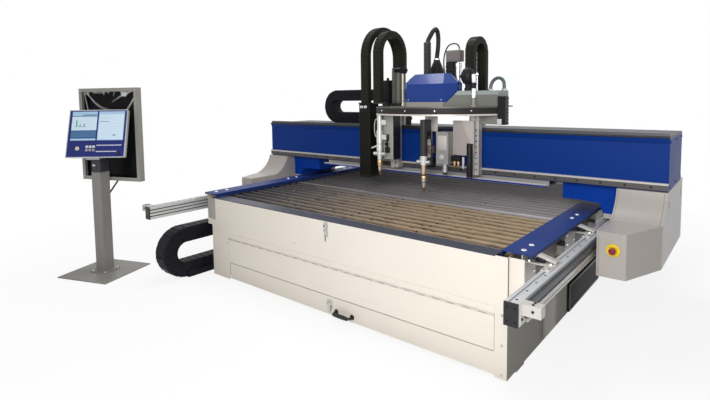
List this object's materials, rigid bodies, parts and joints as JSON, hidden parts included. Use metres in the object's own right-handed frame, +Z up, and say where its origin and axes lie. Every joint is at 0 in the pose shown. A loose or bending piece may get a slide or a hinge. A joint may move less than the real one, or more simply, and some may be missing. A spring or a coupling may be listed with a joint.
{
  "type": "cnc cutting machine",
  "caption": "Gantry cutting machine with a slatted table, side rails, a carriage of torches under upright cable chains, and a separate operator console.",
  "frame": {"origin": "centre of the table's footprint, on the floor under its middle pad", "axes": "+X to the right along the beam seen from the front, +Y to the back along the rails, +Z up"},
  "size_m": [4.6208, 4.2843, 2.2455],
  "materials": {
    "sheet_grey": "semi-gloss powder coat",
    "cover_blue": "gloss paint",
    "steel": "plain",
    "slat_steel": "heat tinted",
    "aluminium": "extruded",
    "black_plastic": "matte",
    "black_metal": "satin",
    "dark_strip": "satin",
    "rubber": "matte",
    "yellow": "gloss",
    "red": "gloss",
    "panel_grey": "satin",
    "screen": "glossy",
    "key": "matte"
  },
  "bodies": {
    "frame": {"table_shell": "sheet_grey", "front_panel": "sheet_grey", "piano_hinge": "steel", "door_catch": "steel", "slats": "slat_steel", "slat_combs": "slat_steel", "slag_pan": "slat_steel", "side_covers": "cover_blue", "rail_brackets": "aluminium", "rails": "aluminium", "rail_guides": "steel", "rail_end_caps": "black_plastic", "chain_trough": "steel", "console_base": "sheet_grey", "console_column": "sheet_grey", "console_collar": "black_metal", "console_hood": "sheet_grey", "hood_liner": "black_plastic"},
    "door": {"slag_door": "sheet_grey", "door_handle": "black_plastic"},
    "latch": {"latch_lever": "steel"},
    "gantry": {"beam": "cover_blue", "beam_end_caps": "cover_blue", "beam_top_strip": "dark_strip", "beam_guides": "steel", "beam_tray": "steel", "gantry_legs": "cover_blue", "rail_trucks": "aluminium", "end_housings": "sheet_grey", "estop_collar": "yellow", "x_chain": "black_plastic", "y_chain": "black_plastic"},
    "estop": {"estop_button": "red"},
    "carriage": {"saddle_posts": "aluminium", "station_plate": "dark_strip", "motor_cover": "cover_blue", "carriage_box": "sheet_grey", "traverse_motor": "black_metal", "lift_drives": "aluminium", "torch_conduit": "rubber", "torch_hose": "rubber", "signal_cable": "rubber", "relief_hose": "rubber", "marker_chain": "black_plastic"},
    "column": {"tool_column": "black_plastic", "column_chain": "black_plastic"},
    "left_tool": {"left_torch": "aluminium", "lifter_chain": "black_plastic"},
    "centre_tool": {"centre_torch": "steel"},
    "marker": {"marker_unit": "aluminium"},
    "panel": {"control_panel": "panel_grey", "panel_screen": "screen"},
    "start": {"start_button": "key"},
    "knob": {"feed_knob": "black_plastic"},
    "key_1": {"panel_key_1": "key"},
    "key_2": {"panel_key_2": "key"},
    "key_3": {"panel_key_3": "key"},
    "key_4": {"panel_key_4": "key"},
    "key_5": {"panel_key_5": "key"},
    "key_6": {"panel_key_6": "key"}
  },
  "joints": [
    {"name": "gantry_travel", "type": "slide", "parent": "frame", "child": "gantry", "axis": [0, 1, 0], "range_m": [-0.78, 1.3], "deforming": ["y_chain"]},
    {"name": "carriage_traverse", "type": "slide", "parent": "gantry", "child": "carriage", "axis": [1, 0, 0], "range_m": [-0.85, 0.65], "deforming": ["x_chain"]},
    {"name": "column_lift", "type": "slide", "parent": "carriage", "child": "column", "axis": [0, 0, 1], "range_m": [-0.12, 0.06], "deforming": ["column_chain"]},
    {"name": "left_torch_lift", "type": "slide", "parent": "carriage", "child": "left_tool", "axis": [0, 0, 1], "range_m": [-0.15, 0.04], "deforming": ["lifter_chain"]},
    {"name": "centre_torch_lift", "type": "slide", "parent": "carriage", "child": "centre_tool", "axis": [0, 0, 1], "range_m": [-0.06, 0.09]},
    {"name": "marker_lift", "type": "slide", "parent": "carriage", "child": "marker", "axis": [0, 0, 1], "range_m": [-0.2, 0.04]},
    {"name": "door_swing", "type": "hinge", "parent": "frame", "child": "door", "pos_m": [0, -1.306, 0.375], "axis": [-1, 0, 0], "range_deg": [0, 167]},
    {"name": "latch_turn", "type": "hinge", "parent": "door", "child": "latch", "pos_m": [0.046, -1.302, 0.108], "axis": [-1, 0, 0], "range_deg": [0, 90]},
    {"name": "estop_press", "type": "slide", "parent": "gantry", "child": "estop", "axis": [0, 1, 0], "range_m": [0, 0.006], "stiffness_N_per_m": 400},
    {"name": "panel_swivel", "type": "hinge", "parent": "frame", "child": "panel", "pos_m": [-2.278, -1.871, 1.0663], "axis": [0, 0, 1], "range_deg": [-40, 12]},
    {"name": "feed_knob_turn", "type": "hinge", "parent": "panel", "child": "knob", "pos_m": [-1.97532, -1.8401, 1.12317], "axis": [0.6123, -0.741, 0.2756], "range_deg": [-150, 150]},
    {"name": "start_press", "type": "slide", "parent": "panel", "child": "start", "axis": [-0.6123, 0.741, -0.2756], "range_m": [0, 0.003], "stiffness_N_per_m": 200},
    {"name": "panel_key_1_press", "type": "slide", "parent": "panel", "child": "key_1", "axis": [-0.6123, 0.741, -0.2756], "range_m": [0, 0.003], "stiffness_N_per_m": 200},
    {"name": "panel_key_2_press", "type": "slide", "parent": "panel", "child": "key_2", "axis": [-0.6123, 0.741, -0.2756], "range_m": [0, 0.003], "stiffness_N_per_m": 200},
    {"name": "panel_key_3_press", "type": "slide", "parent": "panel", "child": "key_3", "axis": [-0.6123, 0.741, -0.2756], "range_m": [0, 0.003], "stiffness_N_per_m": 200},
    {"name": "panel_key_4_press", "type": "slide", "parent": "panel", "child": "key_4", "axis": [-0.6123, 0.741, -0.2756], "range_m": [0, 0.003], "stiffness_N_per_m": 200},
    {"name": "panel_key_5_press", "type": "slide", "parent": "panel", "child": "key_5", "axis": [-0.6123, 0.741, -0.2756], "range_m": [0, 0.003], "stiffness_N_per_m": 200},
    {"name": "panel_key_6_press", "type": "slide", "parent": "panel", "child": "key_6", "axis": [-0.6123, 0.741, -0.2756], "range_m": [0, 0.003], "stiffness_N_per_m": 200}
  ]
}
